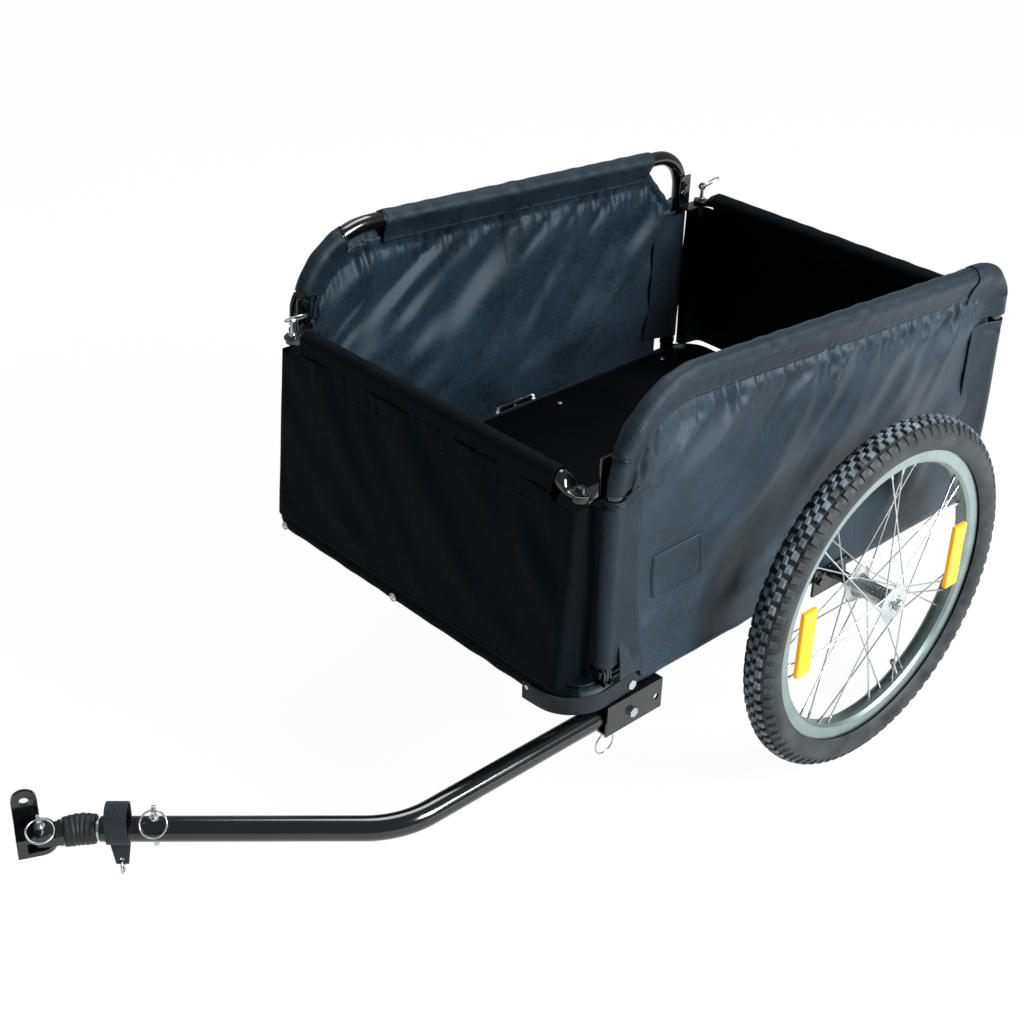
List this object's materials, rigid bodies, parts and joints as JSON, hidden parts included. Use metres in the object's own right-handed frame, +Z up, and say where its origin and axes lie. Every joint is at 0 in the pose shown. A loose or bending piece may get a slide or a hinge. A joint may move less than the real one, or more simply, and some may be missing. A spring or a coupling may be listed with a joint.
{
  "type": "bike cargo trailer",
  "caption": "Two-wheeled cargo trailer for a bicycle: a fabric box on a folding tube frame, spoked wheels and a bent tow arm with a pinned hitch.",
  "frame": {"origin": "middle of the footprint, on the ground under the tyres", "axes": "+X the way it travels, towards the hitch; +Y its left side; +Z up"},
  "size_m": [1.4552, 0.856, 0.6467],
  "materials": {
    "frame_paint": "gloss black paint",
    "zinc": "bright zinc plate",
    "rim_alloy": "satin",
    "side_cloth": "coated woven polyester",
    "gate_cloth": "coated woven polyester",
    "webbing": "woven webbing",
    "tyre": "matt moulded tread",
    "neck_rubber": "matt moulded",
    "board": "black film face",
    "amber": "clear amber prism plastic"
  },
  "bodies": {
    "chassis": {"base_frame": "frame_paint", "floor_board": "board", "fabric_hem": "gate_cloth", "left_front_pivot_bolt": "zinc", "left_rear_pivot_bolt": "zinc", "right_front_pivot_bolt": "zinc", "right_rear_pivot_bolt": "zinc", "tow_bracket": "frame_paint", "tow_bracket_bolt_upper": "zinc", "tow_bracket_bolt_lower": "zinc", "arm_pivot_bolt": "zinc", "left_axle_bracket": "frame_paint", "left_stub_axle": "zinc", "right_axle_bracket": "frame_paint", "right_stub_axle": "zinc"},
    "left_side": {"left_side_hoop": "frame_paint", "left_side_panel": "side_cloth", "left_front_bar_bracket": "frame_paint", "left_rear_bar_bracket": "frame_paint"},
    "right_side": {"right_side_hoop": "frame_paint", "right_side_panel": "side_cloth", "right_front_bar_bracket": "frame_paint", "right_rear_bar_bracket": "frame_paint"},
    "front_gate": {"front_bar": "frame_paint", "front_panel": "gate_cloth", "front_bar_bolt": "zinc"},
    "rear_gate": {"rear_bar": "frame_paint", "rear_panel": "gate_cloth", "rear_bar_bolt": "zinc"},
    "front_bar_lock": {"front_bar_pin": "zinc"},
    "front_bar_pull": {"front_bar_ring": "zinc"},
    "rear_bar_lock": {"rear_bar_pin": "zinc"},
    "rear_bar_pull": {"rear_bar_ring": "zinc"},
    "arm": {"tow_arm": "frame_paint", "coupling_plug": "zinc", "coupling_neck": "neck_rubber", "safety_strap": "webbing", "strap_hook": "zinc"},
    "arm_lock": {"arm_lock_pin": "zinc"},
    "arm_lock_pull": {"arm_lock_ring": "zinc"},
    "hitch_lock": {"hitch_pin": "zinc"},
    "hitch_lock_pull": {"hitch_pin_ring": "zinc"},
    "coupling_front": {"coupling_eye": "frame_paint"},
    "axle_hitch": {"hitch_block": "frame_paint"},
    "swivel_lock": {"swivel_pin": "zinc"},
    "swivel_lock_pull": {"swivel_pin_ring": "zinc"},
    "left_wheel": {"left_tyre": "tyre", "left_rim": "rim_alloy", "left_hub": "zinc", "left_reflector_front": "amber", "left_reflector_rear": "amber"},
    "right_wheel": {"right_tyre": "tyre", "right_rim": "rim_alloy", "right_hub": "zinc", "right_reflector_front": "amber", "right_reflector_rear": "amber"}
  },
  "joints": [
    {"name": "left_wheel_spin", "type": "hinge", "parent": "chassis", "child": "left_wheel", "pos_m": [-0.33835, 0.385, 0.25], "axis": [0, 1, 0], "continuous": true},
    {"name": "right_wheel_spin", "type": "hinge", "parent": "chassis", "child": "right_wheel", "pos_m": [-0.33835, -0.385, 0.25], "axis": [0, 1, 0], "continuous": true},
    {"name": "left_side_fold", "type": "hinge", "parent": "chassis", "child": "left_side", "pos_m": [-0.33835, 0.294, 0.273], "axis": [-1, 0, 0], "range_deg": [-70, 0]},
    {"name": "right_side_fold", "type": "hinge", "parent": "chassis", "child": "right_side", "pos_m": [-0.33835, -0.294, 0.273], "axis": [1, 0, 0], "range_deg": [-58, 0]},
    {"name": "front_gate_tilt", "type": "hinge", "parent": "chassis", "child": "front_gate", "pos_m": [0.13995, 0, 0.2615], "axis": [0, 1, 0], "range_deg": [0, 95]},
    {"name": "rear_gate_tilt", "type": "hinge", "parent": "chassis", "child": "rear_gate", "pos_m": [-0.72665, 0, 0.2615], "axis": [0, -1, 0], "range_deg": [0, 95]},
    {"name": "front_bar_lock_pull", "type": "slide", "parent": "front_gate", "child": "front_bar_lock", "axis": [0, 0, 1], "range_m": [0, 0.022]},
    {"name": "rear_bar_lock_pull", "type": "slide", "parent": "rear_gate", "child": "rear_bar_lock", "axis": [0, 0, 1], "range_m": [0, 0.022]},
    {"name": "front_ring_swing", "type": "hinge", "parent": "front_bar_lock", "child": "front_bar_pull", "pos_m": [0.10865, -0.269, 0.541], "axis": [0.9781, -0.2079, 0], "range_deg": [0, 85]},
    {"name": "rear_ring_swing", "type": "hinge", "parent": "rear_bar_lock", "child": "rear_bar_pull", "pos_m": [-0.69535, -0.269, 0.541], "axis": [0.9063, 0.4226, 0], "range_deg": [0, 85]},
    {"name": "arm_swing", "type": "hinge", "parent": "chassis", "child": "arm", "pos_m": [0.01465, 0.294, 0.208], "axis": [0, 0, 1], "range_deg": [-60, 0]},
    {"name": "arm_lock_drop", "type": "slide", "parent": "chassis", "child": "arm_lock", "axis": [0, 0, -1], "range_m": [0, 0.015]},
    {"name": "arm_lock_ring_swing", "type": "hinge", "parent": "arm_lock", "child": "arm_lock_pull", "pos_m": [0.06965, 0.294, 0.1745], "axis": [1, 0, 0], "range_deg": [-80, 80]},
    {"name": "hitch_pin_lift", "type": "slide", "parent": "arm", "child": "hitch_lock", "axis": [0, 0, 1], "range_m": [0, 0.04]},
    {"name": "hitch_ring_swing", "type": "hinge", "parent": "hitch_lock", "child": "hitch_lock_pull", "pos_m": [0.59642, 0.11686, 0.2343], "axis": [0.7547, -0.6561, 0], "range_deg": [0, 230]},
    {"name": "neck_bend", "type": "hinge", "parent": "arm", "child": "coupling_front", "pos_m": [0.65816, 0.0632, 0.208], "axis": [0.6561, 0.7547, 0], "range_deg": [-15, 15], "stiffness_Nm_per_rad": 25, "deforming": ["coupling_neck"]},
    {"name": "hitch_swivel", "type": "hinge", "parent": "coupling_front", "child": "axle_hitch", "pos_m": [0.69698, 0.04591, 0.208], "axis": [0, 0, 1], "range_deg": [-40, 40]},
    {"name": "swivel_pin_lift", "type": "slide", "parent": "axle_hitch", "child": "swivel_lock", "axis": [0, 0, 1], "range_m": [0, 0.03]},
    {"name": "swivel_ring_swing", "type": "hinge", "parent": "swivel_lock", "child": "swivel_lock_pull", "pos_m": [0.69698, 0.04591, 0.2325], "axis": [0.9135, -0.4067, 0], "range_deg": [0, 130]}
  ]
}
